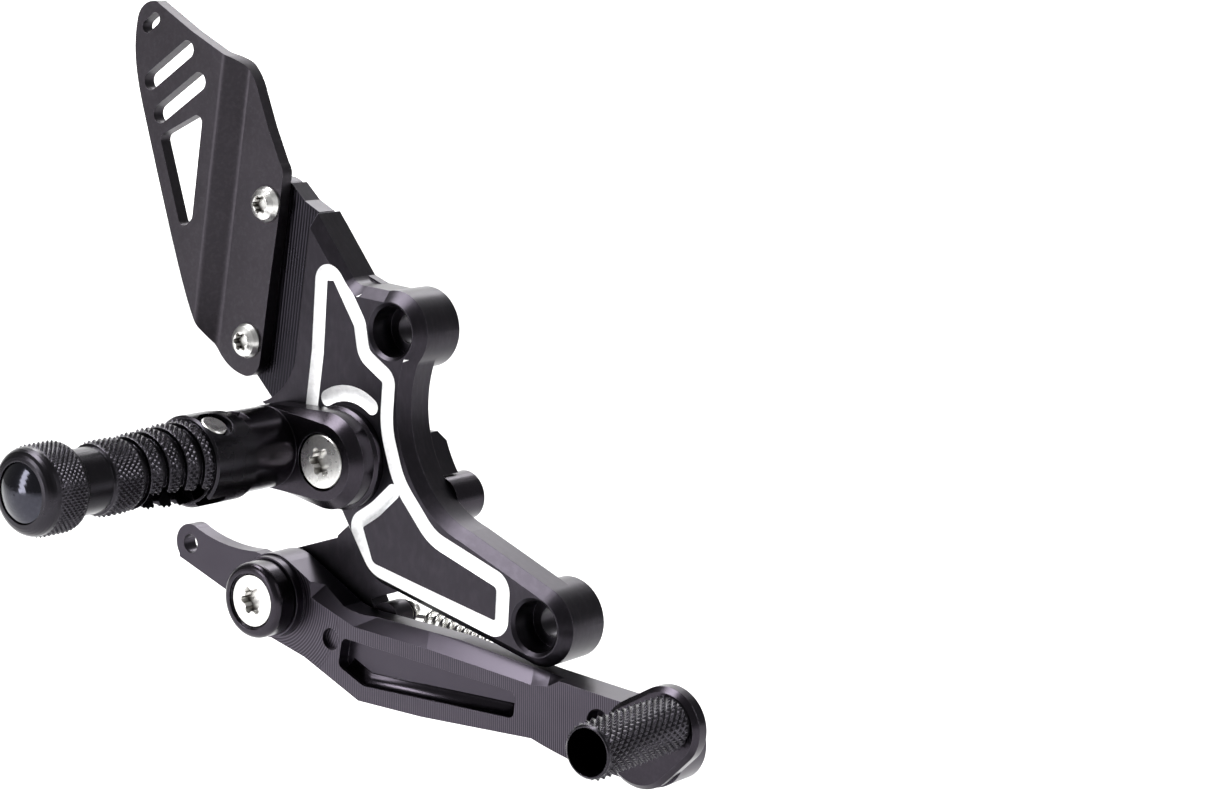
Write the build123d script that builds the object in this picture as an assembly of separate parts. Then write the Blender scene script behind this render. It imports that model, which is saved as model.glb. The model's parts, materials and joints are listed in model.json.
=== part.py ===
from build123d import *
import os
from math import atan2, cos, degrees, hypot, pi, radians, sin

# Right-hand rearset of a sport motorcycle: bracket plate, folding foot peg on an
# adjustable carrier, heel guard, and brake lever with an eccentric toe peg.
# Millimetres.  +X is forward, +Z is up, -Y is outboard (the side the rider sees).
# The origin is the axis of the upper mounting hole, on the mounting plane Y = 0.

# ---------------------------------------------------------------- bracket plate
PLATE_FRONT = -17.0          # outboard face of plate and mounting bosses
MOUNT_FACE = 0.0             # inboard face of the mounting bosses
WEB_BACK = -6.5              # inboard face of the web between the bosses
BOSS_R = 11.75
UPPER_BOSS = (0.0, 0.0)
LOWER_BOSS = (52.5, -79.15)
MOUNT_HOLE_R = 4.5           # clearance hole for an M8 screw
HEAD_BORE_R = 7.5            # counterbore for the screw's head
HEAD_BORE_FLOOR = -8.0
BORE_CHAMFER = 0.97
EDGE_CHAMFER = 3.0
GROOVE_BALL_R = 3.1          # ball-end cutter that mills the decorative groove
GROOVE_DEPTH = 1.1

# ------------------------------------------------------------------- heel guard
GUARD_T = 4.0
GUARD_SEAT = -13.0           # plate's lowered pad that the guard bolts to
GUARD_STEP = 5.0             # how far the wing stands outboard of the bolted flange
GUARD_BOLTS = ((-47.8, 34.4), (-56.9, -7.0))
GUARD_PAD_R = 7.6
M6_R = 3.0
M6_HEAD_R = 5.25
M6_HEAD_H = 3.3

# ------------------------------------------------- peg carrier and its M8 screw
CARRIER = (-18.4, -38.3)     # screw axis, which the carrier is turned about
CARRIER_BASE_R = 15.3
CARRIER_BASE_T = 3.0
CARRIER_R = 14.4
CARRIER_FACE = -27.5
CARRIER_CHAMFER = 3.0
M8_R = 4.0
M8_HEAD_R = 8.25
M8_HEAD_RIM = 1.4
M8_HEAD_CONE = 3.2
SCREW_GAP = 0.05             # radial running clearance round a screw or pin

# ------------------------------------------------------------- folding foot peg
PEG = (-39.8, -35.9)         # peg axis, parallel to Y
NECK_R = 12.1
PARTING = -43.6              # where the peg meets the carrier's neck
PIVOT_Y = -54.5
PIN_TILT = 30.0              # pivot pin leans this much from vertical towards +X
PIN_R = 3.0
PIN_HEAD_R = 4.0
PIN_HEAD_T = 1.8
PIN_SEAT = 10.6              # distance of the pin head's seat from the peg axis
COLLAR_R = 13.3
COLLAR_OUT = -60.3
GRIP_R_IN = 11.95             # grip radius next to the collar
GRIP_R_OUT = 10.05            # grip radius at its outboard end
GRIP_TAPER_END = -86.0
GRIP_OUT = -96.0
GRIP_GROOVES = (-64.9, -71.3, -77.7, -84.2)
GRIP_GROOVE_W = 2.2
GRIP_GROOVE_DEPTH = 1.2
RING_SEAT_R = 9.35
RING_IN = -105.0
RING_OUT = -121.0
RING_R = 12.3
DOME_R = 8.5
END_SCREW_R = 3.4
SLOT_HALF = 4.5              # half width of the fork slot
TONGUE_TOP = 4.3
TONGUE_BOTTOM = -1.7
TONGUE_R = 7.5
FORK_R = 9.1                 # fork end, from the pin's axis

# ------------------------------------------------------------------ brake lever
PIVOT = (-46.1, -83.2)
LEVER_FRONT = -19.0
LEVER_BACK = -9.0
HUB_R = 12.9
CAP_FRONT = -29.3
CAP_BACK = -22.3
CAP_R = 11.5
PIVOT_HEAD = -28.5
BEARING_R = 8.0
BEARING_W = 5.0
ARM_FRONT = -7.0             # plate's arm that carries the pivot
ARM_BOSS_R = 12.3
ROD_HOLE = (-86.6, -73.3)    # takes the push rod's clevis screw
ROD_HOLE_R = 3.0
ROD_END_R = 6.2
ROD_ARM_FRONT = -14.0
TOE = (93.6, -104.4)         # screw that clamps the toe peg's swivel plate to the lever
TOE_R = 12.5
DISC = (102.1, -98.2)        # rounded outer end of the swivel plate
DISC_R = 11.2
DISC_FRONT = -23.7
TUBE = (104.0, -96.4)        # axis of the toe peg, off the disc's centre
TUBE_R = 7.2
TUBE_BORE_R = 6.5
TUBE_FRONT = -59.3

TUBE_FLOOR = 3.0
TUBE_SCREW_R = 2.0
DISC_SCREW_R = 2.5
LOCK_SCREW_R = 3.0

# ---------------------------------------------------------- spring and posts
POST = (-12.0, -87.6)        # post on the plate's arm that holds the return spring
POST_LOBE_R = 4.7
POST_PIN_R = 2.0
LEVER_PIN_R = 1.5             # slimmer, so the hook has play on it
LEVER_POST = (31.0, -96.0)
SPRING_Y = 2.6
SPRING_WIRE_R = 0.8
SPRING_R = 3.9
SPRING_PITCH = 2.8
HOOK_R = 3.4
REAR_POST = (8.9, -49.7)
REAR_POST_R = 7.3
REAR_POST_END = 6.0

parts = {}


def at(xz, y=0.0):
    """Location of a flat XZ point at depth y."""
    return Pos(xz[0], y, xz[1])


def slab(sketch, front, back):
    """Extrude a sketch drawn in (x, z) from its front face to its back face."""
    placed = Plane.XZ * sketch
    return Pos(0, back, 0) * extrude(placed, amount=back - front)


def rod(xz, radius, front, back):
    """Cylinder along Y."""
    return slab(Pos(*xz) * Circle(radius), front, back)


def turned(profile, xz=(0.0, 0.0)):
    """Revolve a closed (radius, y) profile about the Y line through xz."""
    face = make_face(Polyline(*profile, close=True))
    return at(xz) * revolve(face, axis=Axis.Y)


def hull(c1, r1, c2, r2):
    """Sketch of the belt round two circles."""
    dx = c2[0] - c1[0]
    dz = c2[1] - c1[1]
    gap = hypot(dx, dz)
    side = atan2(dz, dx)
    lean = (r1 - r2) / gap
    turn = pi / 2 - (lean if abs(lean) < 1e-9 else atan2(lean, (1 - lean * lean) ** 0.5))
    points = []
    for sign in (1, -1):
        angle = side + sign * turn
        pair = [
            (c1[0] + r1 * cos(angle), c1[1] + r1 * sin(angle)),
            (c2[0] + r2 * cos(angle), c2[1] + r2 * sin(angle)),
        ]
        points += pair if sign == 1 else pair[::-1]
    belt = make_face(Polyline(*points, close=True))
    return belt + Pos(*c1) * Circle(r1) + Pos(*c2) * Circle(r2)


def rounded(points, radius):
    """Polygon with every corner rounded."""
    face = make_face(Polyline(*points, close=True))
    return fillet(face.vertices(), radius)


def torx(radius, depth):
    """Six-lobed driver socket, mouth at y = 0, going in the +Y direction."""
    star = Circle(radius * 0.74)
    for lobe in range(6):
        angle = lobe * 60
        star += Rot(0, 0, angle) * Pos(radius * 0.74, 0) * Circle(radius * 0.26)
    return slab(star, -0.01, depth)


def flat_screw(xz, face, tip, socket_r=4.4):
    """M8 screw with a low conical head, driven from the outboard side."""
    body = turned(
        [
            (0, face),
            (M8_HEAD_R - 0.5, face),
            (M8_HEAD_R, face + 0.5),
            (M8_HEAD_R, face + M8_HEAD_RIM),
            (M8_R, face + M8_HEAD_RIM + M8_HEAD_CONE),
            (M8_R, tip - 0.8),
            (M8_R - 0.8, tip),
            (0, tip),
        ],
        xz,
    )
    return body - at(xz, face) * torx(socket_r, 3.0)


def flat_screw_seat(xz, face, depth_past_cone, mouth):
    """Hole that takes a flat_screw with running clearance."""
    gap = SCREW_GAP
    return turned(
        [
            (0, mouth),
            (M8_HEAD_R + 0.35, mouth),
            (M8_HEAD_R + 0.35, face + M8_HEAD_RIM + gap),
            (M8_R + gap, face + M8_HEAD_RIM + M8_HEAD_CONE + gap),
            (M8_R + gap, depth_past_cone),
            (0, depth_past_cone),
        ],
        xz,
    )


def button_screw(xz, seat, tip):
    """M6 button-head screw: head stands outboard of its seat."""
    crown = M6_HEAD_H
    head = [
        (0, seat - crown),
        (M6_HEAD_R * 0.55, seat - crown),
        (M6_HEAD_R * 0.86, seat - crown * 0.68),
        (M6_HEAD_R, seat - crown * 0.25),
        (M6_HEAD_R, seat),
        (M6_R, seat),
        (M6_R, tip),
        (0, tip),
    ]
    return turned(head, xz) - at(xz, seat - crown) * torx(2.9, 2.0)


# ------------------------------------------------------------------ bracket plate
def front_outline():
    """Full-height part of the plate: apex, bosses, forward edge, lower edge, cove."""
    edges = [
        Line((-30.2, 32.4), (-16.6, 14.4)),
        ThreePointArc((-16.6, 14.4), (-14.2, 12.7), (-11.4, 12.3)),
        Line((-11.4, 12.3), (0.7, 11.2)),
        Line((0.7, 11.2), (9.9, -4.6)),
        ThreePointArc((9.9, -4.6), (5.2, -23.3), (13.2, -45.6)),
        ThreePointArc((13.2, -45.6), (19.3, -51.4), (27.3, -55.4)),
        Line((27.3, -55.4), (57.18, -68.38)),
        Line((57.18, -68.38), (49.3, -90.4)),
        Line((49.3, -90.4), (-5.0, -75.6)),
        ThreePointArc((-5.0, -75.6), (-10.4, -73.2), (-13.9, -69.2)),
        Line((-13.9, -69.2), (-22.9, -54.6)),
        Line((-22.9, -54.6), (-40.5, -31.0)),
        Line((-40.5, -31.0), (-51.5, -25.0)),
        ThreePointArc((-51.5, -25.0), (-41.4, -18.4), (-36.8, -9.0)),
        Line((-36.8, -9.0), (-35.7, 0.0)),
        Line((-35.7, 0.0), (-30.2, 32.4)),
    ]
    outline = make_face(edges)
    for boss in (UPPER_BOSS, LOWER_BOSS):
        outline += Pos(*boss) * Circle(BOSS_R)
    notch = outline.vertices().sort_by_distance((10.9, -4.3, 0))[0]
    return fillet(notch, 3.5)


def groove_path(points_and_bends):
    """Centre line of the milled groove: straight runs joined by tangent arcs."""
    points = [p for p, bend in points_and_bends]
    bends = [bend for p, bend in points_and_bends[1:-1]]
    return FilletPolyline(*points, radius=bends)


def mill(path):
    """Ball-end milled channel along a path drawn in (x, z) on the plate's face."""
    centre_y = PLATE_FRONT - (GROOVE_BALL_R - GROOVE_DEPTH)
    wire = Pos(0, centre_y, 0) * (Plane.XZ * path)
    profile = Plane(wire @ 0, z_dir=wire % 0) * Circle(GROOVE_BALL_R)
    channel = sweep(profile, path=wire, transition=Transition.ROUND)
    for end in (0, 1):
        channel += Location(wire @ end) * Sphere(GROOVE_BALL_R)
    return channel


def bracket_plate():
    outline = front_outline()
    plate = slab(outline, PLATE_FRONT, WEB_BACK)
    lit_edges = [
        e
        for e in plate.edges().group_by(Axis.Y)[0]
        if (e @ 0.5).X > 4.0 or ((e @ 0.5).Z > 11.0 and (e @ 0.5).X > -31.0 and (e @ 0.3).X > -30.0)
    ]
    plate = chamfer(lit_edges, EDGE_CHAMFER)

    # bosses reach the mounting plane
    for boss in (UPPER_BOSS, LOWER_BOSS):
        plate += rod(boss, BOSS_R, WEB_BACK - 1, MOUNT_FACE)

    # stiffening rail behind the middle of the forward edge, with sloped ends
    rail = make_face(
        [
            ThreePointArc((5.6, -30.0), (8.3, -37.6), (13.2, -45.6)),
            Line((13.2, -45.6), (7.6, -50.2)),
            ThreePointArc((7.6, -50.2), (1.4, -40.5), (-1.8, -30.0)),
            Line((-1.8, -30.0), (5.6, -30.0)),
        ]
    )
    rail = slab(rail, WEB_BACK - 1, MOUNT_FACE)
    rail_top = [e for e in rail.edges().group_by(Axis.Y)[-1] if (e @ 0.5).Z > -31 or (e @ 0.5).Z < -47]
    plate += chamfer(rail_top, 3.0)

    # lowered pad for the heel guard, and the thicker back of the apex
    pad = make_face(
        Polyline(
            (-30.6, 32.6), (-36.4, 35.6), (-41.6, 40.6), (-52.0, 34.4), (-63.6, -6.0),
            (-57.4, -17.8), (-51.0, -24.6), (-34.0, -30.0), (-28.0, 8.0), close=True,
        )
    )
    for bolt in GUARD_BOLTS:
        pad += Pos(*bolt) * Circle(GUARD_PAD_R)
    plate += slab(pad, GUARD_SEAT, WEB_BACK)
    apex = rounded([(-38.6, 31.6), (-44.6, 38.8), (-53.0, 36.0), (-50.0, 14.0), (-37.0, 14.0)], 2.0)
    plate += slab(apex, WEB_BACK - 1, -2.5)
    shoulder = make_face(
        Polyline((-30.2, 32.4), (-16.6, 14.4), (-11.4, 12.3), (0.0, 11.2), (-4.0, 2.0), (-26.0, 6.0), close=True)
    )
    plate += slab(shoulder, WEB_BACK - 1, -4.6)

    # arm that carries the brake lever's pivot
    arm = hull(PIVOT, ARM_BOSS_R, (-14.0, -68.6), 8.0)
    arm += make_face(
        Polyline((-31.0, -65.0), (-20.0, -56.0), (4.0, -62.0), (2.0, -75.0), (-8.5, -79.4), (-17.8, -82.4),
                 (-12.5, -93.0), (-30.0, -93.0), close=True)
    )
    arm += Pos(*POST) * Circle(POST_LOBE_R)
    plate += slab(arm, ARM_FRONT, MOUNT_FACE)

    # room round the rear post where the rail passes it
    plate -= rod(REAR_POST, REAR_POST_R + 0.5, WEB_BACK, MOUNT_FACE + 1)

    # mounting holes with head counterbores
    for boss in (UPPER_BOSS, LOWER_BOSS):
        mouth = HEAD_BORE_R + BORE_CHAMFER
        plate -= turned(
            [
                (0, PLATE_FRONT - 1),
                (mouth, PLATE_FRONT - 1),
                (mouth, PLATE_FRONT),
                (HEAD_BORE_R, PLATE_FRONT + BORE_CHAMFER),
                (HEAD_BORE_R, HEAD_BORE_FLOOR),
                (MOUNT_HOLE_R, HEAD_BORE_FLOOR),
                (MOUNT_HOLE_R, MOUNT_FACE + 1),
                (0, MOUNT_FACE + 1),
            ],
            boss,
        )

    # threaded holes
    plate -= rod(CARRIER, M8_R, PLATE_FRONT - 1, MOUNT_FACE + 1)
    plate -= rod(PIVOT, M8_R, ARM_FRONT - 1, MOUNT_FACE + 1)
    for bolt in GUARD_BOLTS:
        plate -= rod(bolt, M6_R, GUARD_SEAT - 1, MOUNT_FACE + 1)
    plate -= rod(POST, POST_PIN_R, ARM_FRONT + 0.5, MOUNT_FACE + 1)

    # decorative groove: the long run, and the short arc above the carrier
    long_run = groove_path(
        [
            ((-31.6, -27.0), 0), ((-28.4, -8.0), 10.0), ((-26.3, 15.6), 2.6), ((-20.4, 15.8), 2.6),
            ((-11.6, 1.6), 5.0), ((-10.2, -7.2), 5.0), ((-0.6, -13.6), 3.2), ((-2.0, -28.0), 26.0),
            ((2.6, -43.4), 24.0), ((15.0, -58.2), 16.0), ((41.6, -68.0), 4.0), ((40.6, -82.2), 3.0),
            ((10.0, -75.2), 60.0), ((-9.6, -70.6), 5.0), ((-14.4, -57.4), 3.0), ((-6.6, -52.6), 18.0),
            ((0.4, -46.6), 0),
        ]
    )
    plate -= mill(long_run)
    short_run = ThreePointArc((-24.9, -21.4), (-16.2, -19.3), (-7.4, -22.4))
    plate -= mill(short_run)
    return plate


# --------------------------------------------------------------------- heel guard
def heel_guard():
    """Sheet with a joggle: the wing stands outboard of the bolted flange."""
    inner_front = GUARD_SEAT - GUARD_T
    step = GUARD_STEP
    # section across the joggle, drawn as (distance from bend line, y)
    front = inner_front
    section = make_face(
        Polyline(
            (-40.0, front), (0.0, front), (step, front - step), (60.0, front - step),
            (60.0, front - step + GUARD_T), (step + 1.6, front - step + GUARD_T),
            (1.6, front + GUARD_T), (-40.0, front + GUARD_T), close=True,
        )
    )
    bends = [v for v in section.vertices() if -1.0 < v.X < step + 2.0]
    section = fillet(bends, 3.0)
    bend_foot = Plane(origin=(-66.4, 0, 10.9), x_dir=(-0.983, 0, 0.182), z_dir=(0.182, 0, 0.983))
    # the section plane's second axis is -Y here, so the section is mirrored into it
    sheet = extrude(bend_foot * mirror(section, about=Plane.XZ), amount=110, both=True)

    outline = make_face(
        [
            Polyline((-41.5, 42.3), (-43.7, 29.1), (-47.3, 12.2), (-52.2, -13.0)),
            ThreePointArc((-52.2, -13.0), (-54.4, -16.6), (-58.0, -17.9)),
            ThreePointArc((-58.0, -17.9), (-64.6, -15.6), (-70.6, -9.0)),
            Spline((-70.6, -9.0), (-75.9, 1.0), (-80.8, 14.7), (-86.5, 33.8), (-93.3, 58.1), (-97.0, 78.3),
                   (-95.8, 87.6)),
            ThreePointArc((-95.8, 87.6), (-92.6, 92.4), (-87.2, 93.4)),
            Polyline((-87.2, 93.4), (-72.8, 84.9), (-58.6, 77.7)),
            ThreePointArc((-58.6, 77.7), (-54.0, 73.6), (-50.6, 67.0)),
            Polyline((-50.6, 67.0), (-47.0, 57.0), (-42.4, 46.6)),
            ThreePointArc((-42.4, 46.6), (-41.4, 44.5), (-41.5, 42.3)),
        ]
    )
    openings = hull((-88.0, 88.2), 1.9, (-91.7, 85.8), 1.9)
    openings += hull((-74.8, 79.3), 2.7, (-90.7, 69.6), 2.7)
    openings += hull((-70.2, 69.9), 2.8, (-87.0, 59.8), 2.8)
    openings += rounded([(-68.6, 61.4), (-87.4, 53.2), (-79.2, 25.0), (-74.4, 29.0)], 2.2)
    for bolt in GUARD_BOLTS:
        openings += Pos(*bolt) * Circle(M6_R + 0.15)
    guard = sheet & slab(outline - openings, -30.0, -5.0)
    return guard


# ----------------------------------------------------------- peg carrier and neck
PIN_DIR = (sin(radians(PIN_TILT)), 0.0, cos(radians(PIN_TILT)))
FOLD_DIR = (-cos(radians(PIN_TILT)), 0.0, sin(radians(PIN_TILT)))
# local frame at the pivot: x = side the peg folds to, y = outboard, z = along the pin
FORK = Plane(origin=(PEG[0], PIVOT_Y, PEG[1]), x_dir=FOLD_DIR, z_dir=PIN_DIR)
FLANGE = PARTING - PIVOT_Y   # distance from the pin to the neck's end face


def fork_box(x0, x1, y0, y1, z0, z1):
    """Box given by its limits in the fork's local frame."""
    size = Box(x1 - x0, y1 - y0, z1 - z0)
    return FORK * (Pos((x0 + x1) / 2, (y0 + y1) / 2, (z0 + z1) / 2) * size)


def fork_rod(radius, z0, z1, x=0.0, y=0.0):
    """Cylinder along the pin's direction, in the fork's local frame."""
    return FORK * (Pos(x, y, (z0 + z1) / 2) * Cylinder(radius, z1 - z0))


def peg_carrier():
    base = rod(CARRIER, CARRIER_BASE_R, PLATE_FRONT - CARRIER_BASE_T, PLATE_FRONT)
    base = chamfer(base.edges().group_by(Axis.Y)[0], 0.8)
    shoulder = CARRIER_FACE + CARRIER_CHAMFER
    belt = hull(CARRIER, CARRIER_R, PEG, NECK_R + 0.2)
    body = slab(belt, shoulder, PLATE_FRONT - 1.5)
    face = hull(CARRIER, CARRIER_R - CARRIER_CHAMFER, PEG, NECK_R + 0.1)
    lower = Pos(0, shoulder, 0) * (Plane.XZ * belt)
    upper = Pos(0, CARRIER_FACE, 0) * (Plane.XZ * face)
    nose = loft([lower.faces()[0], upper.faces()[0]], ruled=True)
    neck = rod(PEG, NECK_R, PARTING, shoulder)
    carrier = base + body + nose + neck

    # tongue that enters the peg's fork
    tongue = fork_box(-TONGUE_R, TONGUE_R, -FLANGE - 1, 0, TONGUE_BOTTOM, TONGUE_TOP)
    tongue += fork_rod(TONGUE_R, TONGUE_BOTTOM, TONGUE_TOP)
    carrier += tongue

    # room for the peg to fold: scooped neck end on the folding side
    sweep_area = make_face(
        Polyline(
            (0.0, -FLANGE + 0.6), (0.0, -14.4), (4.0, -14.2), (8.5, -13.2),
            (13.6, -11.4), (18.0, -9.8), (18.0, -FLANGE + 0.6), close=True,
        )
    )
    sweep_all = FORK * extrude(sweep_area, amount=20, both=True)
    keep = fork_box(-1, TONGUE_R, -20, 0, TONGUE_BOTTOM, TONGUE_TOP)
    carrier -= sweep_all - keep

    carrier -= flat_screw_seat(CARRIER, CARRIER_FACE + 0.2, PLATE_FRONT + 1, CARRIER_FACE - 1)
    carrier -= fork_rod(PIN_R + SCREW_GAP, TONGUE_BOTTOM - 1, TONGUE_TOP + 1)
    return carrier


# ------------------------------------------------------------------ peg and ends
def foot_peg():
    profile = [(0, PARTING - 0.2), (COLLAR_R - 0.6, PARTING - 0.2), (COLLAR_R, PARTING - 0.8)]
    profile += [(COLLAR_R, COLLAR_OUT + 0.6), (COLLAR_R - 0.6, COLLAR_OUT), (GRIP_R_IN, COLLAR_OUT)]

    def grip_radius(y):
        if y < GRIP_TAPER_END:
            return GRIP_R_OUT
        run = (y - GRIP_TAPER_END) / (COLLAR_OUT - GRIP_TAPER_END)
        return GRIP_R_OUT + run * (GRIP_R_IN - GRIP_R_OUT)

    half = GRIP_GROOVE_W / 2
    for centre in GRIP_GROOVES:
        near = grip_radius(centre + half)
        far = grip_radius(centre - half)
        profile += [(near, centre + half), (near - GRIP_GROOVE_DEPTH, centre + half)]
        profile += [(far - GRIP_GROOVE_DEPTH, centre - half), (far, centre - half)]
    profile += [(GRIP_R_OUT, GRIP_TAPER_END - 1.5), (GRIP_R_OUT, GRIP_OUT + 0.4), (RING_SEAT_R, GRIP_OUT)]
    profile += [(RING_SEAT_R, RING_IN - 1.0), (6.0, RING_IN - 1.0), (6.0, RING_OUT + 7.0), (0, RING_OUT + 7.0)]
    peg = turned(profile, PEG)

    # fork slot for the tongue and spring, open on the side the peg folds to
    peg -= fork_box(-10.4, 20, -20, TONGUE_R + 1.2, -SLOT_HALF, SLOT_HALF)
    # fork end rounded about the pin on the folding side
    corner = fork_box(0, 20, -20, 0, -20, 20) - fork_rod(FORK_R, -20, 20)
    peg -= corner
    peg -= fork_box(-20, 0.01, -20, -(FLANGE - 0.3), -20, 20)

    # pin bore, flat seat for its head, and clip seat on the far side
    peg -= fork_rod(PIN_R, -20, 20)
    peg -= fork_rod(PIN_HEAD_R + 1.3, PIN_SEAT, 20)
    peg -= fork_rod(PIN_HEAD_R + 1.4, -20, -PIN_SEAT)

    peg -= spring_pocket()
    # centre bore for the end screw
    peg -= rod(PEG, END_SCREW_R, RING_OUT, RING_IN + 14.0)
    return peg


def spring_pocket():
    """Milled pocket and notch under the inboard end of the grip."""
    aim = Rot(0, -30.0, 0)
    depth_top = -4.7
    body = Pos(0, (COLLAR_OUT - 83.0) / 2, depth_top - 5) * Box(11.4, 83.0 + COLLAR_OUT, 10)
    notch = Pos(0, COLLAR_OUT + 3.0, depth_top - 6) * Box(5.0, 6.0, 10)
    notch += Pos(0, COLLAR_OUT + 6.0, depth_top - 6) * Cylinder(2.5, 10)
    return at(PEG) * aim * (body + notch)


def peg_ends():
    ring = [
        (6.1, RING_IN - 1.1),
        (9.5, RING_IN - 1.1),
        (9.9, RING_IN),
        (RING_R, RING_IN - 2.6),
        (RING_R, RING_OUT + 3.4),
    ]
    for step in range(1, 7):
        angle = radians(15 * step)
        ring.append((RING_R - 3.4 + 3.4 * cos(angle), RING_OUT + 3.4 - 3.4 * sin(angle)))
    ring += [(DOME_R + 0.05, RING_OUT), (DOME_R + 0.05, RING_OUT + 5.0), (6.1, RING_OUT + 5.0)]
    parts["peg_end_ring"] = turned(ring, PEG)

    dome = [(0, RING_OUT + 2.9), (DOME_R, RING_OUT + 2.9), (DOME_R, RING_OUT + 0.4)]
    rise = 2.6
    sphere_r = (DOME_R ** 2 + rise ** 2) / (2 * rise)
    for step in range(1, 9):
        r = DOME_R * (1 - step / 8)
        y = RING_OUT + 0.4 - ((sphere_r ** 2 - r ** 2) ** 0.5 - (sphere_r - rise))
        dome.append((r, y))
    parts["peg_end_plug"] = turned(dome, PEG)

    screw = [(0, RING_OUT + 3.0), (7.4, RING_OUT + 3.0), (7.4, RING_OUT + 5.0)]
    screw += [(END_SCREW_R, RING_OUT + 5.0), (END_SCREW_R, RING_IN + 12.0), (0, RING_IN + 12.0)]
    parts["peg_end_screw"] = turned(screw, PEG) - at(PEG, RING_OUT + 3.0) * torx(3.0, 1.4)


def pivot_pin():
    head = Pos(0, 0, PIN_SEAT + PIN_HEAD_T / 2) * Cylinder(PIN_HEAD_R, PIN_HEAD_T)
    head = FORK * fillet(head.edges().sort_by(Axis.Z)[-1], 0.8)
    pin = head + fork_rod(PIN_R, -PIN_SEAT - 2.0, PIN_SEAT)
    groove = fork_rod(PIN_R + 1, -PIN_SEAT - 1.2, -PIN_SEAT) - fork_rod(PIN_R - 0.6, -PIN_SEAT - 1.2, -PIN_SEAT)
    parts["peg_pivot_pin"] = pin - groove
    clip = fork_rod(PIN_HEAD_R + 0.6, -PIN_SEAT - 1.1, -PIN_SEAT) - fork_rod(PIN_R - 0.6, -PIN_SEAT - 1.1, -PIN_SEAT)
    clip -= fork_box(-2.2, 2.2, 0, 8, -PIN_SEAT - 2, -PIN_SEAT + 1)
    parts["pivot_pin_clip"] = clip


def peg_return_spring():
    """Torsion spring round the pin; its free leg lies in the pocket under the grip."""
    wire = 0.55
    coil_r = 5.0
    pitch = 1.2
    height = 1.25 * pitch
    low = -SLOT_HALF + wire + 0.1
    coil = Helix(pitch=pitch, height=height, radius=coil_r)
    section = Plane(coil @ 0, z_dir=coil % 0) * Circle(wire)
    spring = sweep(section, path=coil, is_frenet=True)
    leg_z = low + 0.2
    leg = Pos(-coil_r, 7.0, leg_z) * (Rot(90, 0, 0) * Cylinder(wire, 15.0))
    return FORK * (Pos(0, 0, low) * spring + leg)


# ------------------------------------------------------------------- brake lever
def lever_outline():
    edges = [
        Line((-39.7, -72.0), (-19.8, -83.3)),
        ThreePointArc((-19.8, -83.3), (-14.4, -84.7), (-8.0, -85.2)),
        Line((-8.0, -85.2), (24.0, -87.3)),
        ThreePointArc((24.0, -87.3), (44.0, -90.2), (57.0, -91.9)),
        Line((57.0, -91.9), (89.6, -95.4)),
        Line((89.6, -95.4), (101.5, -96.7)),
        ThreePointArc((101.5, -96.7), (106.1, -105.6), (101.9, -114.6)),
        ThreePointArc((101.9, -114.6), (97.8, -116.6), (92.0, -116.9)),
        Line((92.0, -116.9), (66.0, -114.2)),
        ThreePointArc((66.0, -114.2), (59.6, -112.6), (53.0, -110.6)),
        Line((53.0, -110.6), (12.0, -111.2)),
        Line((12.0, -111.2), (-12.6, -110.4)),
        Line((-12.6, -110.4), (-34.2, -100.4)),
        Line((-34.2, -100.4), (-50.0, -95.8)),
        Line((-50.0, -95.8), (-39.7, -72.0)),
    ]
    return make_face(edges) + Pos(*PIVOT) * Circle(HUB_R)


def brake_lever():
    lever = slab(lever_outline(), LEVER_FRONT, LEVER_BACK)

    # thin rear arm to the push rod, flush with the lever's inboard face
    arm = make_face(
        [
            Polyline((-91.9, -70.4), (-84.9, -67.4)),
            ThreePointArc((-84.9, -67.4), (-72.5, -71.4), (-58.5, -72.2)),
            Polyline((-58.5, -72.2), (-46.0, -75.0), (-48.0, -94.0), (-57.0, -91.6), (-91.6, -78.0),
                     (-91.9, -70.4)),
        ]
    )
    arm += Pos(*ROD_HOLE) * Circle(ROD_END_R)
    lever += slab(arm, ROD_ARM_FRONT, LEVER_BACK)

    # hub stands proud of the lever's face under the cap
    lever += rod(PIVOT, HUB_R - 0.6, CAP_BACK + 0.4, LEVER_FRONT)

    lever -= top_bevel()

    # bearing bore, rod hole, toe screw hole, lightening features
    lever -= rod(PIVOT, BEARING_R, CAP_BACK - 1, LEVER_BACK + 1)
    lever -= rod(ROD_HOLE, ROD_HOLE_R, ROD_ARM_FRONT - 1, LEVER_BACK + 1)
    lever -= rod(TOE, DISC_SCREW_R + SCREW_GAP, LEVER_FRONT - 1, LEVER_BACK + 1)
    lever -= rod((-23.2, -93.3), 3.3, LEVER_FRONT - 1, LEVER_FRONT + 1.8)
    lever -= rod((76.6, -102.2), 4.0, LEVER_FRONT - 1, LEVER_FRONT + 5.0)
    pocket = rounded([(-18.6, -92.2), (12.0, -95.0), (47.4, -98.2), (46.6, -106.0), (-10.6, -105.6),
                      (-20.4, -101.0)], 2.2)
    lever -= slab(pocket, LEVER_FRONT - 1, LEVER_FRONT + 4.0)
    lever -= rod(LEVER_POST, LEVER_PIN_R, LEVER_BACK - 3.5, LEVER_BACK + 1)
    # threaded hole down from the top edge for the disc's lock screw
    lever -= Pos(86.8, -14.0, -100.0) * Cylinder(LOCK_SCREW_R, 14.0)
    return lever


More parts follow.
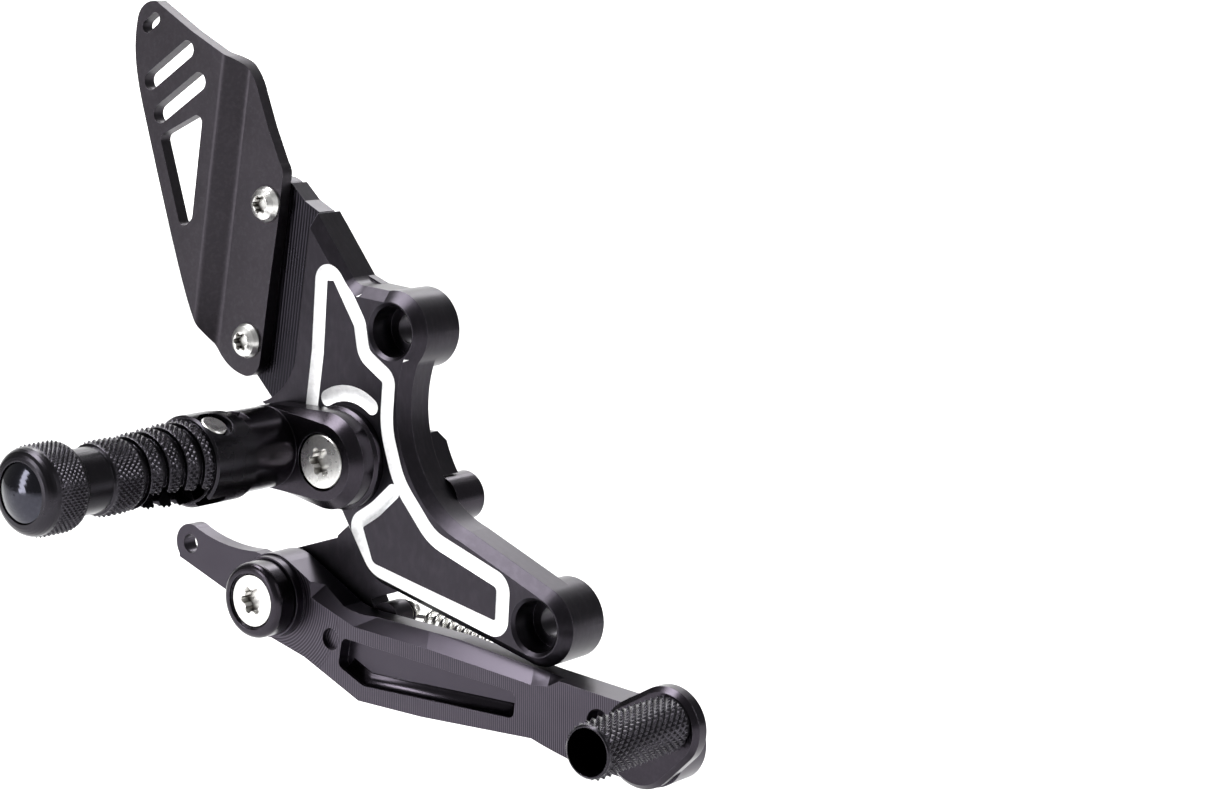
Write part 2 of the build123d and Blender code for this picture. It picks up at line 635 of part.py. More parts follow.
def top_bevel():
    """Milled bevel along the lever's top front edge, from the hub to a scooped end."""
    depth = 4.0
    front = Polyline(
        (-31.0, -81.9), (-13.8, -88.3), (14.6, -90.6), (53.0, -95.1), (59.0, -94.6), (63.0, -92.5),
        (63.0, -60.0), (-31.0, -60.0), close=True,
    )
    inner = Polyline(
        (-28.6, -78.2), (-8.0, -85.3), (12.0, -86.6), (51.0, -91.2), (57.0, -91.9), (62.9, -92.5),
        (62.9, -60.0), (-28.6, -60.0), close=True,
    )
    front_face = Pos(0, LEVER_FRONT, 0) * (Plane.XZ * make_face(front))
    inner_face = Pos(0, LEVER_FRONT + depth, 0) * (Plane.XZ * make_face(inner))
    return loft([front_face.faces()[0], inner_face.faces()[0]], ruled=True)


def lever_hardware():
    parts["lever_pivot_bolt"] = flat_screw(PIVOT, PIVOT_HEAD, MOUNT_FACE, socket_r=4.4)

    cap = [(M8_HEAD_R + 0.4, CAP_FRONT)]
    corner = 2.2
    for step in range(0, 7):
        angle = radians(15 * step)
        cap.append((CAP_R - corner + corner * sin(angle), CAP_FRONT + corner - corner * cos(angle)))
    cone_end = PIVOT_HEAD + M8_HEAD_RIM + M8_HEAD_CONE
    cap += [(CAP_R, CAP_BACK), (M8_R, CAP_BACK), (M8_R, cone_end), (M8_HEAD_R, PIVOT_HEAD + M8_HEAD_RIM)]
    cap += [(M8_HEAD_R, PIVOT_HEAD), (M8_HEAD_R + 0.4, PIVOT_HEAD)]
    parts["lever_pivot_cap"] = turned(cap, PIVOT)

    # two sealed ball bearings with a sleeve between their inner rings
    front = CAP_BACK + 0.4
    back = LEVER_BACK
    bearings = []
    for near, far in ((front, front + BEARING_W), (back - BEARING_W, back)):
        ring = rod(PIVOT, BEARING_R, near, far) - rod(PIVOT, M8_R + SCREW_GAP, near, far)
        for side in (near, far - 0.3):
            ring -= rod(PIVOT, BEARING_R - 1.2, side, side + 0.3) - rod(PIVOT, M8_R + 1.3, side, side + 0.3)
        bearings.append(ring)
    parts["lever_bearings"] = Compound(children=bearings)
    sleeve = rod(PIVOT, M8_R + 1.2, front + BEARING_W, back - BEARING_W)
    parts["bearing_sleeve"] = sleeve - rod(PIVOT, M8_R + SCREW_GAP, front + BEARING_W, back - BEARING_W)
    washer = rod(PIVOT, M8_R + 1.3, LEVER_BACK, ARM_FRONT) - rod(PIVOT, M8_R, LEVER_BACK, ARM_FRONT)
    parts["pivot_washer"] = washer
    spacer = rod(PIVOT, M8_R + 1.3, CAP_BACK, front) - rod(PIVOT, M8_R, CAP_BACK, front)
    parts["cap_spacer"] = spacer


def toe_peg():
    disc = slab(hull(TOE, TOE_R, DISC, DISC_R), DISC_FRONT, LEVER_FRONT - 0.1)
    disc = chamfer(disc.edges().group_by(Axis.Y)[0], 1.4)
    disc -= rod(TUBE, TUBE_SCREW_R, DISC_FRONT - 1, LEVER_FRONT)
    disc -= rod(TOE, DISC_SCREW_R, DISC_FRONT + 1.2, LEVER_FRONT)
    parts["toe_peg_disc"] = disc

    tube = [(TUBE_SCREW_R, DISC_FRONT), (TUBE_R - 0.3, DISC_FRONT), (TUBE_R, DISC_FRONT - 0.3)]
    tube += [(TUBE_R, TUBE_FRONT + 0.4), (TUBE_R - 0.4, TUBE_FRONT), (TUBE_BORE_R, TUBE_FRONT)]
    tube += [(TUBE_BORE_R, DISC_FRONT - TUBE_FLOOR), (TUBE_SCREW_R, DISC_FRONT - TUBE_FLOOR)]
    parts["toe_peg_tube"] = turned(tube, TUBE)

    seat = DISC_FRONT - TUBE_FLOOR
    screw = [(0, seat - 2.2), (3.3, seat - 2.2), (3.6, seat - 1.8), (3.6, seat), (TUBE_SCREW_R, seat)]
    screw += [(TUBE_SCREW_R, LEVER_FRONT - 0.4), (0, LEVER_FRONT - 0.4)]
    parts["toe_tube_screw"] = turned(screw, TUBE) - at(TUBE, seat - 2.2) * torx(1.7, 1.4)

    screw = [(0, DISC_FRONT + 1.6), (DISC_SCREW_R, DISC_FRONT + 1.6), (DISC_SCREW_R, LEVER_BACK)]
    screw += [(4.7, LEVER_BACK), (4.7, LEVER_BACK + 2.2), (4.2, LEVER_BACK + 2.7), (0, LEVER_BACK + 2.7)]
    socket = at(TOE, LEVER_BACK + 2.7) * (Rot(180, 0, 0) * torx(2.3, 1.7))
    parts["toe_disc_screw"] = turned(screw, TOE) - socket

    lock = Pos(86.8, -14.0, -98.8) * Cylinder(LOCK_SCREW_R, 5.0)
    lock = chamfer(lock.edges().sort_by(Axis.Z)[-1], 0.4)
    lock -= Pos(86.8, -14.0, -97.8) * extrude(RegularPolygon(1.5, 6), amount=2.0)
    parts["toe_lock_screw"] = lock


# ----------------------------------------------------- posts and lever return spring
def return_spring_set():
    """Extension spring between a post on the plate's arm and a post on the lever."""
    pin = [(0, ARM_FRONT + 0.5), (POST_PIN_R, ARM_FRONT + 0.5), (POST_PIN_R, SPRING_Y + 1.6)]
    pin += [(POST_PIN_R + 1.2, SPRING_Y + 1.6), (POST_PIN_R + 1.2, SPRING_Y + 2.6), (0, SPRING_Y + 2.6)]
    parts["spring_post"] = turned(pin, POST)
    pin[0] = (0, LEVER_BACK - 3.5)
    pin[1] = (LEVER_PIN_R, LEVER_BACK - 3.5)
    pin[2] = (LEVER_PIN_R, SPRING_Y + 1.6)
    parts["lever_spring_post"] = turned(pin, LEVER_POST)

    start = Vector(POST[0], SPRING_Y, POST[1])
    end = Vector(LEVER_POST[0], SPRING_Y, LEVER_POST[1])
    along = (end - start).normalized()
    span = (end - start).length
    body_start = HOOK_R + SPRING_R + 1.0
    turns = int((span - 2 * body_start) / SPRING_PITCH)
    length = turns * SPRING_PITCH
    coil = Helix(pitch=SPRING_PITCH, height=length, radius=SPRING_R)
    section = Plane(coil @ 0, z_dir=coil % 0) * Circle(SPRING_WIRE_R)
    frame = Plane(origin=start, x_dir=(0, 1, 0), z_dir=along)
    spring = sweep(section, path=coil, is_frenet=True)
    margin = (span - length) / 2
    spring = frame * (Pos(0, 0, margin) * spring)
    loops = []
    for centre, side, t in ((start, 1, 0), (end, -1, 1)):
        tip = coil @ t + (coil % t) * (0.2 * side)
        lead = frame.from_local_coords(Vector(tip.X, tip.Y, margin + tip.Z))
        loop = Location(centre) * (Rot(90, 0, 0) * Torus(HOOK_R, SPRING_WIRE_R))
        bar = Edge.make_line(centre + along * (side * HOOK_R), lead)
        link = sweep(Plane(bar @ 0, z_dir=bar % 0) * Circle(SPRING_WIRE_R * 0.98), path=bar)
        loops.append(loop + link + Location(lead) * Sphere(SPRING_WIRE_R * 1.3))
    parts["lever_return_spring"] = spring + loops[0] + loops[1]


def small_hardware():
    screws = [button_screw(bolt, GUARD_SEAT - GUARD_T, WEB_BACK + 1.0) for bolt in GUARD_BOLTS]
    parts["guard_bolts"] = Compound(children=screws)
    parts["carrier_bolt"] = flat_screw(CARRIER, CARRIER_FACE + 0.2, WEB_BACK - 0.5, socket_r=4.4)
    post = rod(REAR_POST, REAR_POST_R, WEB_BACK, REAR_POST_END)
    post = chamfer(post.edges().group_by(Axis.Y)[-1], 0.6)
    parts["rear_post"] = post - rod(REAR_POST, M6_R, WEB_BACK + 4.0, REAR_POST_END + 1)


def build():
    parts["bracket_plate"] = bracket_plate()
    small_hardware()
    parts["heel_guard"] = heel_guard()
    parts["peg_carrier"] = peg_carrier()
    parts["foot_peg"] = foot_peg()
    peg_ends()
    pivot_pin()
    parts["peg_return_spring"] = peg_return_spring()
    parts["brake_lever"] = brake_lever()
    lever_hardware()
    toe_peg()
    return_spring_set()


build()
os.makedirs("parts", exist_ok=True)
for name, shape in parts.items():
    export_step(shape, f"parts/{name}.step")
    print(name, round(shape.volume, 1), len(shape.solids()))
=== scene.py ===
"""Looks of the foot peg assembly: knurled pieces, groove, finishes, light and camera."""

import json
from math import cos, pi, radians, sin, sqrt

import bmesh
import bpy
from mathutils import Matrix, Vector


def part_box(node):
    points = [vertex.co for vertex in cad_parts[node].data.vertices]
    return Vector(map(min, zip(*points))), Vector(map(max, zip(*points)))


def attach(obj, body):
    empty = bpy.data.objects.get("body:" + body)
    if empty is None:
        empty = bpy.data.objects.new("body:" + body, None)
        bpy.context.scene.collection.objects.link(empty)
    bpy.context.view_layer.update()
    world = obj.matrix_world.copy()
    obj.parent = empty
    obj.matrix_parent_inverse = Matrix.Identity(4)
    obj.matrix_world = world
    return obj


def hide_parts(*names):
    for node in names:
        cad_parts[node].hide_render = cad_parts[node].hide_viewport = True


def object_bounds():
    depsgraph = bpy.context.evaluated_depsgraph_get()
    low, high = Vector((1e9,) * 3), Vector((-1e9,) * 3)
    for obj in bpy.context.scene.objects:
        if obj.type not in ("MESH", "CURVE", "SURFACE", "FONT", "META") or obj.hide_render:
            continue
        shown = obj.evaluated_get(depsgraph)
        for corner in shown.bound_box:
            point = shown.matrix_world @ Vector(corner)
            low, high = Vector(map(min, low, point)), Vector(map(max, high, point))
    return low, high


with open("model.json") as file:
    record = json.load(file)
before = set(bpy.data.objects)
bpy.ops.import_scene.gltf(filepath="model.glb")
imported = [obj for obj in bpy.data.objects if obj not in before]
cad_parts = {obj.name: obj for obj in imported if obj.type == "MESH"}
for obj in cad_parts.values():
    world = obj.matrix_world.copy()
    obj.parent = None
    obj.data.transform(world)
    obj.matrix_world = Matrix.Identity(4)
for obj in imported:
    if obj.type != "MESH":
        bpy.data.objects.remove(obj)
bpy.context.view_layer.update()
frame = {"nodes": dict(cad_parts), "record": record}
nodes = frame["nodes"]
MM = 0.001


# ------------------------------------------------------------------ node helpers
class Shader:
    """A material under construction: a principled shader and the nodes that feed it."""

    def __init__(self, name, **values):
        self.material = bpy.data.materials.new(name)
        self.material.use_nodes = True
        self.tree = self.material.node_tree
        self.shader = self.tree.nodes["Principled BSDF"]
        for socket, value in values.items():
            self.shader.inputs[socket.replace("_", " ")].default_value = value
        self.place = self.node("ShaderNodeTexCoord").outputs["Object"]
        self.height = None

    def node(self, kind, **settings):
        made = self.tree.nodes.new(kind)
        for key, value in settings.items():
            setattr(made, key, value)
        return made

    def link(self, source, target):
        self.tree.links.new(source, target)

    def stretched(self, scale):
        mapping = self.node("ShaderNodeMapping")
        mapping.inputs["Scale"].default_value = scale
        self.link(self.place, mapping.inputs["Vector"])
        return mapping.outputs["Vector"]

    def noise(self, scale, detail=3.0, stretch=(1, 1, 1), rough=0.55):
        made = self.node("ShaderNodeTexNoise")
        made.inputs["Scale"].default_value = scale
        made.inputs["Detail"].default_value = detail
        made.inputs["Roughness"].default_value = rough
        self.link(self.stretched(stretch), made.inputs["Vector"])
        return made.outputs["Fac"]

    def math(self, operation, a, b=None, c=None, clamp=False):
        made = self.node("ShaderNodeMath", operation=operation, use_clamp=clamp)
        for index, value in enumerate((a, b, c)):
            if value is None:
                continue
            if isinstance(value, (int, float)):
                made.inputs[index].default_value = value
            else:
                self.link(value, made.inputs[index])
        return made.outputs[0]

    def spread(self, value, low, high, to_low=0.0, to_high=1.0):
        made = self.node("ShaderNodeMapRange")
        self.link(value, made.inputs["Value"])
        made.inputs["From Min"].default_value = low
        made.inputs["From Max"].default_value = high
        made.inputs["To Min"].default_value = to_low
        made.inputs["To Max"].default_value = to_high
        return made.outputs["Result"]

    def mix(self, factor, a, b):
        made = self.node("ShaderNodeMix", data_type="RGBA")
        for socket, value in ((made.inputs[0], factor), (made.inputs[6], a), (made.inputs[7], b)):
            if hasattr(value, "links"):
                self.link(value, socket)
            elif isinstance(value, (int, float)):
                socket.default_value = value
            else:
                socket.default_value = (*value, 1.0)
        return made.outputs[2]

    def rounded_edges(self, radius):
        """Shading normal with softened edges, and a mask of where the edges are."""
        bevel = self.node("ShaderNodeBevel", samples=4)
        bevel.inputs["Radius"].default_value = radius
        flat = self.node("ShaderNodeNewGeometry").outputs["Normal"]
        apart = self.node("ShaderNodeVectorMath", operation="DOT_PRODUCT")
        self.link(bevel.outputs["Normal"], apart.inputs[0])
        self.link(flat, apart.inputs[1])
        return bevel.outputs["Normal"], self.spread(apart.outputs["Value"], 0.995, 0.86)

    def axes(self):
        split = self.node("ShaderNodeSeparateXYZ")
        self.link(self.place, split.inputs[0])
        return split.outputs["X"], split.outputs["Y"], split.outputs["Z"]

    def distance(self, x, z):
        """Distance from an axis parallel to Y."""
        px, _, pz = self.axes()
        dx = self.math("SUBTRACT", px, x)
        dz = self.math("SUBTRACT", pz, z)
        squares = self.math("ADD", self.math("MULTIPLY", dx, dx), self.math("MULTIPLY", dz, dz))
        return self.math("SQRT", squares)

    def ripple(self, value, pitch):
        return self.math("SINE", self.math("MULTIPLY", value, 2 * pi / pitch))

    def bump(self, height, strength, distance, normal=None):
        made = self.node("ShaderNodeBump")
        made.inputs["Strength"].default_value = strength
        made.inputs["Distance"].default_value = distance
        self.link(height, made.inputs["Height"])
        if normal is not None:
            self.link(normal, made.inputs["Normal"])
        return made.outputs["Normal"]

    def done(self, colour=None, roughness=None, normal=None):
        for socket, value in (("Base Color", colour), ("Roughness", roughness), ("Normal", normal)):
            if value is not None:
                self.link(value, self.shader.inputs[socket])
        return self.material


def anodised(name, tone, rough, cut=None, grain=0.5, edge=0.16, wear=0.3, lines=None, coat=0.0):
    """Black anodised aluminium: a dark dyed skin with tool marks, worn pale at its edges."""
    s = Shader(name, Metallic=1.0, Coat_Weight=coat, Coat_Roughness=0.1)
    cloud = s.noise(90.0, 4.0)
    fine = s.noise(2600.0, 2.0)
    normal, edges = s.rounded_edges(edge * MM)
    dark = tuple(0.9 * c for c in tone)
    colour = s.mix(s.spread(cloud, 0.35, 0.65), dark, tone)
    worn = s.math("MULTIPLY", edges, s.spread(s.noise(900.0, 3.0), 0.42, 0.62, 0.25, 1.0))
    colour = s.mix(s.math("MULTIPLY", worn, wear), colour, (0.36, 0.34, 0.40))
    height = fine
    if cut:
        marks = s.noise(1.0, 2.0, stretch=cut, rough=0.6)
        height = s.math("ADD", s.math("MULTIPLY", fine, 0.35), marks)
        paler = tuple(1.6 * c for c in tone)
        colour = s.mix(s.math("MULTIPLY", s.spread(marks, 0.45, 0.75), 0.3), colour, paler)
    roughness = s.spread(cloud, 0.3, 0.7, rough - 0.02, rough + 0.03)
    if lines:
        ripple = lines(s)
        height = s.math("ADD", s.math("MULTIPLY", height, 0.4), ripple)
        colour = s.mix(s.spread(ripple, -0.3, 0.9, 0.0, 0.8), colour, tuple(2.6 * c for c in tone))
    normal = s.bump(height, grain, 0.02 * MM, normal)
    return s.done(colour, roughness, normal)


def bright_metal(name, tone, rough, stretch, metallic=1.0, grain=0.25, edge=0.12, painted_recess_shade=0.0):
    s = Shader(name, Metallic=metallic)
    marks = s.noise(1.0, 3.0, stretch=stretch)
    cloud = s.noise(140.0, 3.0)
    normal, edges = s.rounded_edges(edge * MM)
    colour = s.mix(s.spread(marks, 0.3, 0.7), tuple(0.82 * c for c in tone), tone)
    colour = s.mix(s.math("MULTIPLY", edges, 0.3), colour, tuple(min(1.0, 1.12 * c) for c in tone))
    # painted shade: an ambient-occlusion mask darkens the colour in recesses and hollows, such as the Torx
    # socket, where shade falls
    if painted_recess_shade:
        hollow = s.node("ShaderNodeAmbientOcclusion", samples=8)
        hollow.inputs["Distance"].default_value = 2.2 * MM
        shade = s.spread(hollow.outputs["AO"], 0.35, 0.8, 1.0, 0.0)
        colour = s.mix(s.math("MULTIPLY", shade, painted_recess_shade), colour, (0.055, 0.045, 0.035))
    roughness = s.spread(cloud, 0.3, 0.7, rough - 0.05, rough + 0.08)
    return s.done(colour, roughness, s.bump(marks, grain, 0.01 * MM, normal))


TURNED_Y = (900, 5200, 900)
ANODISED = (0.034, 0.030, 0.037)


def lever_lines(s):
    """Transverse milling lines on the lever's face, concentric ones round its hub."""
    hub = centre_of("lever_bearings")
    x, y, _ = s.axes()
    straight = s.ripple(x, 0.72 * MM)
    round_ = s.ripple(s.distance(hub.x, hub.z), 0.9 * MM)
    near = s.spread(s.distance(hub.x, hub.z), 25.0 * MM, 27.5 * MM)
    outside = s.math("MULTIPLY", straight, near)
    inside = s.math("MULTIPLY", round_, s.math("SUBTRACT", 1.0, near))
    both = s.math("ADD", outside, inside)
    normal_y = s.node("ShaderNodeSeparateXYZ")
    s.link(s.node("ShaderNodeNewGeometry").outputs["True Normal"], normal_y.inputs[0])
    facing = s.math("LESS_THAN", normal_y.outputs["Y"], -0.98)
    front = s.math("LESS_THAN", y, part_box("brake_lever")[0][1] + 6.0 * MM)
    return s.math("MULTIPLY", both, s.math("MULTIPLY", facing, front))


def pad_steps(s):
    """Cutter steps that run along the pad beside the heel guard."""
    x, _, z = s.axes()
    across = s.math("ADD", x, s.math("MULTIPLY", z, -0.17))
    return s.ripple(across, 1.1 * MM)


def centre_of(node):
    low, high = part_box(node)
    return (Vector(low) + Vector(high)) / 2


plate_skin = anodised("plate_anodised", (0.030, 0.027, 0.033), 0.33, cut=(500, 900, 260), grain=0.25)
turned_skin = anodised("turned_anodised", ANODISED, 0.24, cut=TURNED_Y, grain=0.3)
# painted shade: the pad's much darker tone stands in for the shade on its stepped slopes
pad_painted_shade_skin = anodised("stepped_pad_painted_shade", (0.012, 0.011, 0.014), 0.28, grain=1.0, lines=pad_steps)
lever_skin = anodised("lever_anodised", (0.035, 0.031, 0.039), 0.31, grain=1.0, lines=lever_lines)
grip_skin = anodised("knurl_anodised", (0.030, 0.028, 0.033), 0.26, grain=0.3, edge=0.08, wear=0.55)
gloss_skin = anodised("gloss_anodised", (0.04, 0.04, 0.05), 0.10, cut=(700, 700, 700), grain=0.08)
guard_skin = anodised("guard_coating", (0.040, 0.036, 0.042), 0.42, cut=(800, 800, 800), grain=0.7, wear=0.4)
groove_metal = bright_metal("bare_aluminium", (0.97, 0.97, 0.98), 0.45, (700, 700, 700), metallic=0.15)
# the stainless bolts get painted shade in their recesses
steel = bright_metal("turned_stainless", (0.88, 0.87, 0.85), 0.26, TURNED_Y, painted_recess_shade=0.9)
wire = bright_metal("bright_wire", (0.84, 0.83, 0.80), 0.18, (1500, 1500, 1500))
bearing = bright_metal("ground_steel", (0.78, 0.78, 0.79), 0.15, TURNED_Y)

SKINS = {
    "anodised_plate": plate_skin, "anodised_turned": turned_skin, "anodised_grip": grip_skin,
    "anodised_gloss": gloss_skin, "coated_guard": guard_skin, "stainless_bolt": steel,
    "spring_steel": wire, "bearing_steel": bearing,
}


def built(name, mesh):
    """An object made from a finished bmesh, which is freed."""
    data = bpy.data.meshes.new(name)
    mesh.to_mesh(data)
    mesh.free()
    piece = bpy.data.objects.new(name, data)
    bpy.context.scene.collection.objects.link(piece)
    return piece


def dress(piece, *materials):
    piece.data.materials.clear()
    for material in materials:
        piece.data.materials.append(material)


for entry in frame["record"]["subparts"]:
    skin = SKINS[entry["material_slot"]]
    if entry["node"] == "brake_lever":
        skin = lever_skin
    for slot in nodes[entry["node"]].material_slots:
        slot.material = skin


# --------------------------------------------------------------- replaced CAD nodes
def piece_from(name, node, body):
    """A new piece with the CAD node's shape, so that it can be reworked."""
    source = nodes[node]
    mesh = source.data.copy()
    piece = bpy.data.objects.new(name, mesh)
    bpy.context.scene.collection.objects.link(piece)
    piece.matrix_world = source.matrix_world.copy()
    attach(piece, body)
    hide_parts(node)
    return piece


def mount(name):
    for entry in frame["record"]["mounts"]:
        if entry["name"] == name:
            return Vector(entry["pos_m"])


GROOVE_DEPTH = 1.3 * MM
COUNTERBORE_CLEAR_R = 9.5 * MM      # keeps the bright finish off the mounts' counterbores
PAD_DEPTH = 3.5 * MM
PAD_FRONT_X = -29.0 * MM
PAD_LOW_Z = -30.0 * MM


def plate_piece():
    """The plate with the floor of its ball-milled groove left bright."""
    plate = piece_from("plate_with_bright_groove", "bracket_plate", "plate")
    dress(plate, plate_skin, groove_metal, pad_painted_shade_skin)
    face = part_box("bracket_plate")[0][1]
    holes = [mount("upper_mount"), mount("lower_mount")]
    mesh = plate.data
    for polygon in mesh.polygons:
        depths = [mesh.vertices[i].co.y for i in polygon.vertices]
        centre = polygon.center
        in_cut = max(depths) < face + GROOVE_DEPTH
        off_face = max(depths) > face + 0.01 * MM
        spot = Vector((centre.x, 0, centre.z))
        off_holes = all((spot - Vector((h.x, 0, h.z))).length > COUNTERBORE_CLEAR_R for h in holes)
        above_boss = centre.x > -15.0 * MM and centre.z > 6.0 * MM
        beside_boss = centre.x > 1.0 * MM and centre.z > -12.0 * MM
        by_boss = above_boss or beside_boss
        near_edge = by_boss and abs(polygon.normal.y + sqrt(0.5)) < 0.01
        bright = in_cut and off_face and off_holes and not near_edge
        # the sunk pad's faces take the pad material, whose darker tone is painted shade
        sunk = centre.y > face + PAD_DEPTH and polygon.normal.y < -0.98
        pad = sunk and centre.x < PAD_FRONT_X and centre.z > PAD_LOW_Z
        polygon.material_index = 1 if bright else (2 if pad else 0)
    return plate


plate_piece()


# --------------------------------------------------------------------- knurling
def knurl_sleeve(name, body, axis_xz, runs, radius_at, pitch, around, height, skin):
    """Rings of real diamond knurling round an axis parallel to Y, as one closed solid per run.

    runs are (outboard y, inboard y); radius_at gives the radius of the plain metal; around is
    the number of diamonds round the circumference; pitch is their spacing along the axis."""
    mesh = bmesh.new()
    per_diamond = 6
    steps = around * per_diamond
    for y0, y1 in runs:
        rows = max(4, round((y1 - y0) / pitch * per_diamond))
        rings = []
        for row in range(rows + 1):
            y = y0 + (y1 - y0) * row / rows
            end = min(row, rows - row) / per_diamond
            fade = min(1.0, end * 2.0)
            ring = []
            for step in range(steps):
                turn = step / per_diamond
                along = y / pitch
                a = abs((turn + along) % 1.0 - 0.5) * 2
                b = abs((turn - along) % 1.0 - 0.5) * 2
                peak = max(0.0, min(a, b) - 0.12) / 0.88
                r = radius_at(y) + (0.04 * MM + height * peak) * fade
                angle = 2 * pi * step / steps
                ring.append(mesh.verts.new((axis_xz[0] + r * cos(angle), y, axis_xz[1] + r * sin(angle))))
            rings.append(ring)
        inner = []
        for y in (y0, y1):
            r = radius_at(y) - 0.5 * MM
            angles = [2 * pi * k / steps for k in range(steps)]
            inner.append([
                mesh.verts.new((axis_xz[0] + r * cos(a), y, axis_xz[1] + r * sin(a))) for a in angles
            ])
        bands = [inner[0]] + rings + [inner[1], inner[0]]
        for lower, upper in zip(bands, bands[1:]):
            for k in range(steps):
                n = (k + 1) % steps
                mesh.faces.new((lower[k], lower[n], upper[n], upper[k]))
    bmesh.ops.recalc_face_normals(mesh, faces=mesh.faces)
    piece = built(name, mesh)
    dress(piece, skin)
    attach(piece, body)
    return piece


def cutter_box(name, centre, size, turn_y=0.0):
    """A plain box used only to cut another piece, then removed."""
    mesh = bmesh.new()
    bmesh.ops.create_cube(mesh, size=1.0)
    bmesh.ops.scale(mesh, vec=size, verts=mesh.verts)
    place = Matrix.Translation(centre) @ Matrix.Rotation(turn_y, 4, "Y")
    bmesh.ops.transform(mesh, matrix=place, verts=mesh.verts)
    return built(name, mesh)


def cut_away(piece, cutter):
    cut = piece.modifiers.new("cut", "BOOLEAN")
    cut.object = cutter
    cut.solver = "EXACT"
    depsgraph = bpy.context.evaluated_depsgraph_get()
    data = bpy.data.meshes.new_from_object(piece.evaluated_get(depsgraph))
    piece.modifiers.clear()
    piece.data = data
    bpy.data.objects.remove(cutter)


end_ring = centre_of("peg_end_ring")
PEG = (end_ring.x, end_ring.z)
tube_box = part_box("toe_peg_tube")
TUBE = ((tube_box[0][0] + tube_box[1][0]) / 2, (tube_box[0][2] + tube_box[1][2]) / 2)


TAPER_OUT = -86.0 * MM
TAPER_LENGTH = 25.7 * MM
GRIP_END_R = 10.05
GRIP_GROWTH = 1.9


def grip_radius(y):
    """Radius of the grip's plain metal: a taper, then a straight end."""
    run = max(0.0, (y - TAPER_OUT) / TAPER_LENGTH)
    return (GRIP_END_R + GRIP_GROWTH * run) * MM


GROOVES = (-64.9, -71.3, -77.7, -84.2)
GROOVE_HALF = 1.15
GRIP_IN, GRIP_OUT = -60.5, -95.4
edges = [GRIP_IN]
for centre in GROOVES:
    edges += [centre + GROOVE_HALF, centre - GROOVE_HALF]
edges.append(GRIP_OUT)
grip_runs = [(edges[i + 1] * MM, edges[i] * MM) for i in range(0, len(edges), 2)]
grip = knurl_sleeve(
    "grip_knurl", "peg", PEG, grip_runs, grip_radius,
    pitch=2.0 * MM, around=38, height=0.85 * MM, skin=grip_skin,
)

# the pocket in the grip's underside, where the fold spring's leg lies
POCKET_TILT = radians(30.0)
POCKET_SIZE = (11.4 * MM, 22.0 * MM, 18.6 * MM)
pocket_aim = Vector((sin(POCKET_TILT), 0, -cos(POCKET_TILT)))
pocket_mid = Vector((PEG[0], -72.0 * MM, PEG[1])) + pocket_aim * 14.0 * MM
cut_away(grip, cutter_box("pocket", pocket_mid, POCKET_SIZE, -POCKET_TILT))

RING_R = 12.3 * MM
RING_RUN = (-117.4 * MM, -107.9 * MM)
knurl_sleeve(
    "end_ring_knurl", "peg", PEG, [RING_RUN], lambda y: RING_R,
    pitch=1.6 * MM, around=46, height=0.62 * MM, skin=grip_skin,
)

TUBE_R = (tube_box[1][0] - tube_box[0][0]) / 2
TUBE_RUN = (tube_box[0][1] + 0.5 * MM, -24.3 * MM)
knurl_sleeve(
    "toe_tube_knurl", "toe", TUBE, [TUBE_RUN], lambda y: TUBE_R,
    pitch=2.6 * MM, around=24, height=0.85 * MM, skin=grip_skin,
)


# ------------------------------------------------------- radius in the lever's pocket
LEVER_FACE = -19.0             # the face that the pocket is cut into; the hub stands proud of it
RADIUS_WIDE = 3.3
RADIUS_DEEP = 3.5
RADIUS_TOP = 0.5
POCKET_FLOOR = 4.2


def pocket_radius():
    """The rounded foot of the pocket's lower wall, which catches the light."""
    path = [(45.2, -106.0), (-10.6, -105.65), (-18.8, -101.9)]
    mesh = bmesh.new()
    rows = []
    for index, (x, z) in enumerate(path):
        before = path[max(0, index - 1)]
        after = path[min(len(path) - 1, index + 1)]
        along = Vector((after[0] - before[0], after[1] - before[1])).normalized()
        across = Vector((-along.y, along.x))
        if across.y < 0:
            across = -across
        profile = [(-0.25, POCKET_FLOOR), (-0.25, RADIUS_TOP)]
        for step in range(9):
            angle = radians(90 * step / 8)
            profile.append((RADIUS_WIDE * (1 - cos(angle)), RADIUS_TOP + RADIUS_DEEP * sin(angle)))
        profile.append((RADIUS_WIDE, POCKET_FLOOR))
        ring = []
        for out, deep in profile:
            spot = (x + across.x * out, LEVER_FACE + deep, z + across.y * out)
            ring.append(mesh.verts.new([value * MM for value in spot]))
        rows.append(ring)
    count = len(rows[0])
    for first, second in zip(rows, rows[1:]):
        for k in range(count):
            n = (k + 1) % count
            strip = mesh.faces.new((first[k], first[n], second[n], second[k]))
            strip.smooth = 2 <= k < count - 2
    mesh.faces.new(rows[0])
    mesh.faces.new(rows[-1])
    bmesh.ops.recalc_face_normals(mesh, faces=mesh.faces)
    piece = built("lever_pocket_radius", mesh)
    dress(piece, turned_skin)
    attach(piece, "lever")


pocket_radius()


# ------------------------------------------------------------ floor, light, camera
FLOOR_DROP = 32.0 * MM         # clear of the toe peg when the lever is pressed
VIEW_TURN = radians(37.3)
VIEW_RISE = radians(8.85)


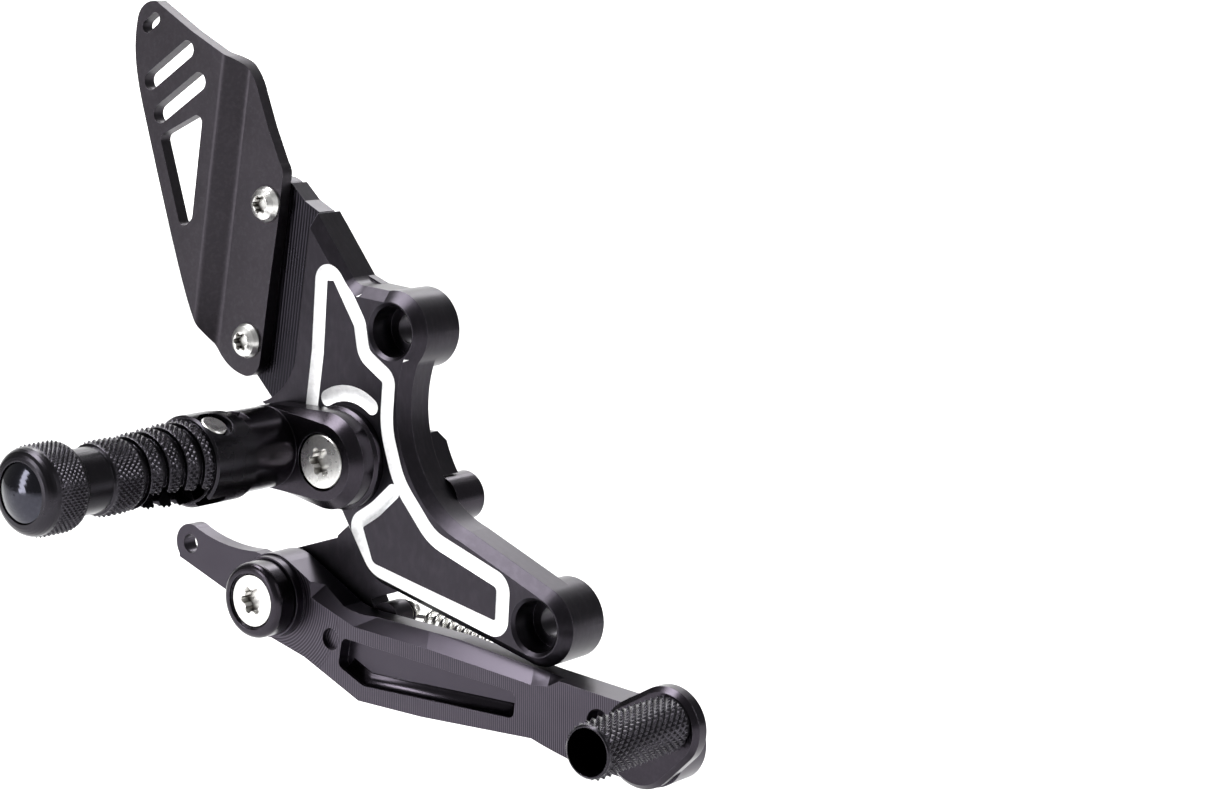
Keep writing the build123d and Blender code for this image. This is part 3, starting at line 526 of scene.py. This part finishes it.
def studio():
    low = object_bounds()[0]
    mesh = bmesh.new()
    bmesh.ops.create_grid(mesh, x_segments=24, y_segments=24, size=2.6)
    for v in mesh.verts:
        v.co.z = low[2] - FLOOR_DROP
    floor = built("studio_floor", mesh)
    s = Shader("floor_paper", Roughness=0.9)
    tone = s.mix(s.spread(s.noise(6.0), 0.3, 0.7), (0.86, 0.86, 0.86), (0.90, 0.90, 0.90))
    s.done(tone)
    dress(floor, s.material)

    bpy.context.scene.view_settings.view_transform = "Standard"
    world = bpy.data.worlds.new("pale_studio")
    world.use_nodes = True
    background = world.node_tree.nodes["Background"]
    background.inputs["Color"].default_value = (1.0, 1.0, 1.0, 1.0)
    background.inputs["Strength"].default_value = 0.27
    bpy.context.scene.world = world

    def panel(name, place, target, size, power):
        lamp = bpy.data.lights.new(name, "AREA")
        lamp.shape = "RECTANGLE"
        lamp.size, lamp.size_y = size
        lamp.energy = power
        holder = bpy.data.objects.new(name, lamp)
        bpy.context.scene.collection.objects.link(holder)
        holder.location = place
        holder.rotation_euler = (Vector(target) - Vector(place)).to_track_quat("-Z", "Y").to_euler()

    middle = (0.0, -0.03, 0.0)
    panel("key_above", (-0.25, -0.25, 0.85), middle, (0.7, 0.4), 16.0)
    panel("side_left", (-0.55, -1.1, 0.12), middle, (0.26, 1.0), 9.0)
    panel("side_right", (0.95, 0.15, 0.35), middle, (0.12, 0.9), 3.0)
    panel("floor_wash", (-1.2, 1.6, 1.6), (-0.6, 0.8, -0.15), (1.6, 1.2), 60.0)

    # pale backdrop behind the object, bright enough to read as white
    wall = bmesh.new()
    bmesh.ops.create_grid(wall, x_segments=16, y_segments=16, size=2.2)
    facing = Vector((sin(VIEW_TURN), -cos(VIEW_TURN), 0.0))
    turn = facing.to_track_quat("Z", "Y").to_matrix().to_4x4()
    place = Matrix.Translation(-facing * 2.0 + Vector((0, 0, 0.8))) @ turn
    bmesh.ops.transform(wall, matrix=place, verts=wall.verts)
    backdrop = built("studio_backdrop", wall)
    s = Shader("backdrop_paper", Roughness=0.95, Emission_Strength=0.9)
    tone = s.mix(s.spread(s.noise(4.0), 0.3, 0.7), (0.93, 0.93, 0.93), (0.96, 0.96, 0.96))
    s.link(tone, s.shader.inputs["Emission Color"])
    s.done(tone)
    dress(backdrop, s.material)


def camera():
    lens = bpy.data.cameras.new("view")
    lens.lens = 81.2
    lens.sensor_width = 36.0
    lens.clip_start = 0.01
    lens.clip_end = 20.0
    holder = bpy.data.objects.new("view", lens)
    bpy.context.scene.collection.objects.link(holder)
    level = cos(VIEW_RISE)
    back = Vector((sin(VIEW_TURN) * level, -cos(VIEW_TURN) * level, sin(VIEW_RISE)))
    holder.location = Vector((521.3, -598.6, 101.4)) * MM
    holder.rotation_euler = back.to_track_quat("Z", "Y").to_euler()
    bpy.context.scene.camera = holder


studio()
camera()
